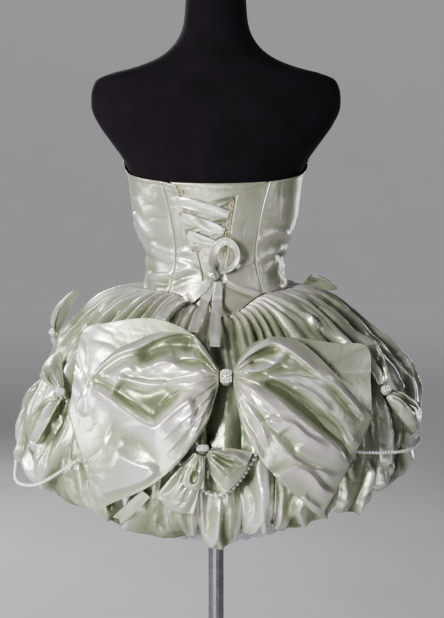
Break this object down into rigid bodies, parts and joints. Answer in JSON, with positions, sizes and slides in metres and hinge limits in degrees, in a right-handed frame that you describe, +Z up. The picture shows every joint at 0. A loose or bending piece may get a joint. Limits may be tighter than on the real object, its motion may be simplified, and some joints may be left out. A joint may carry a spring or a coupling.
{
  "type": "bubble dress on dress form",
  "caption": "Strapless bubble dress with a laced back, a large back bow, small bows and bead swags, standing on a limbless dress form with a pole and a round base.",
  "frame": {"origin": "centre of the round base's underside", "axes": "+Z up along the pole, the laced back of the dress faces +Y and its front faces -Y, +X towards the wearer's left"},
  "size_m": [0.6854, 0.5914, 1.498],
  "materials": {
    "bodice_satin": "shiny pale green satin, lightly creased",
    "skirt_satin": "shiny pale green satin, gathered",
    "bow_satin": "shiny pale green satin, crisp",
    "ribbon": "satin ribbon",
    "lining": "matt plain lining",
    "lace": "fine pale lace",
    "piping": "cream corded piping",
    "bead": "small glossy pearl-like beads",
    "velvet": "black velvet cover",
    "steel": "dark brushed steel"
  },
  "bodies": {
    "root": {"stand_base": "steel", "stand_pole": "steel", "dress_form": "velvet", "bodice_centre_back_left": "bodice_satin", "bodice_centre_back_right": "bodice_satin", "bodice_side_back_left": "bodice_satin", "bodice_side_back_right": "bodice_satin", "bodice_side_front_left": "bodice_satin", "bodice_side_front_right": "bodice_satin", "bodice_front": "bodice_satin", "modesty_panel": "bodice_satin", "skirt": "skirt_satin", "underskirt": "lining", "underskirt_lace": "lace", "lacing_over_1": "ribbon", "lacing_over_2": "ribbon", "lacing_over_3": "ribbon", "lacing_under_1": "ribbon", "lacing_under_2": "ribbon", "lacing_under_3": "ribbon", "lace_loops_left": "piping", "lace_loops_right": "piping", "corset_knot": "ribbon", "corset_loop": "ribbon", "corset_tail_left": "ribbon", "corset_tail_middle": "ribbon", "corset_tail_right": "ribbon", "big_bow_wing_left": "bow_satin", "big_bow_wing_right": "bow_satin", "big_bow_knot": "bow_satin", "bow_centre_knot": "bow_satin", "bow_centre_left": "bow_satin", "bow_centre_right": "bow_satin", "bow_left_knot": "bow_satin", "bow_left_upper": "bow_satin", "bow_left_lower": "bow_satin", "bow_right_knot": "bow_satin", "bow_right_upper": "bow_satin", "bow_right_lower": "bow_satin", "bow_front_left_knot": "bow_satin", "bow_front_left_upper": "bow_satin", "bow_front_left_lower": "bow_satin", "bow_front_right_knot": "bow_satin", "bow_front_right_upper": "bow_satin", "bow_front_right_lower": "bow_satin", "big_bow_tail": "bow_satin", "strand_left": "bead", "strand_centre": "bead", "strand_right": "bead", "strand_front_right": "bead", "strand_front": "bead", "strand_front_left": "bead"}
  },
  "joints": []
}
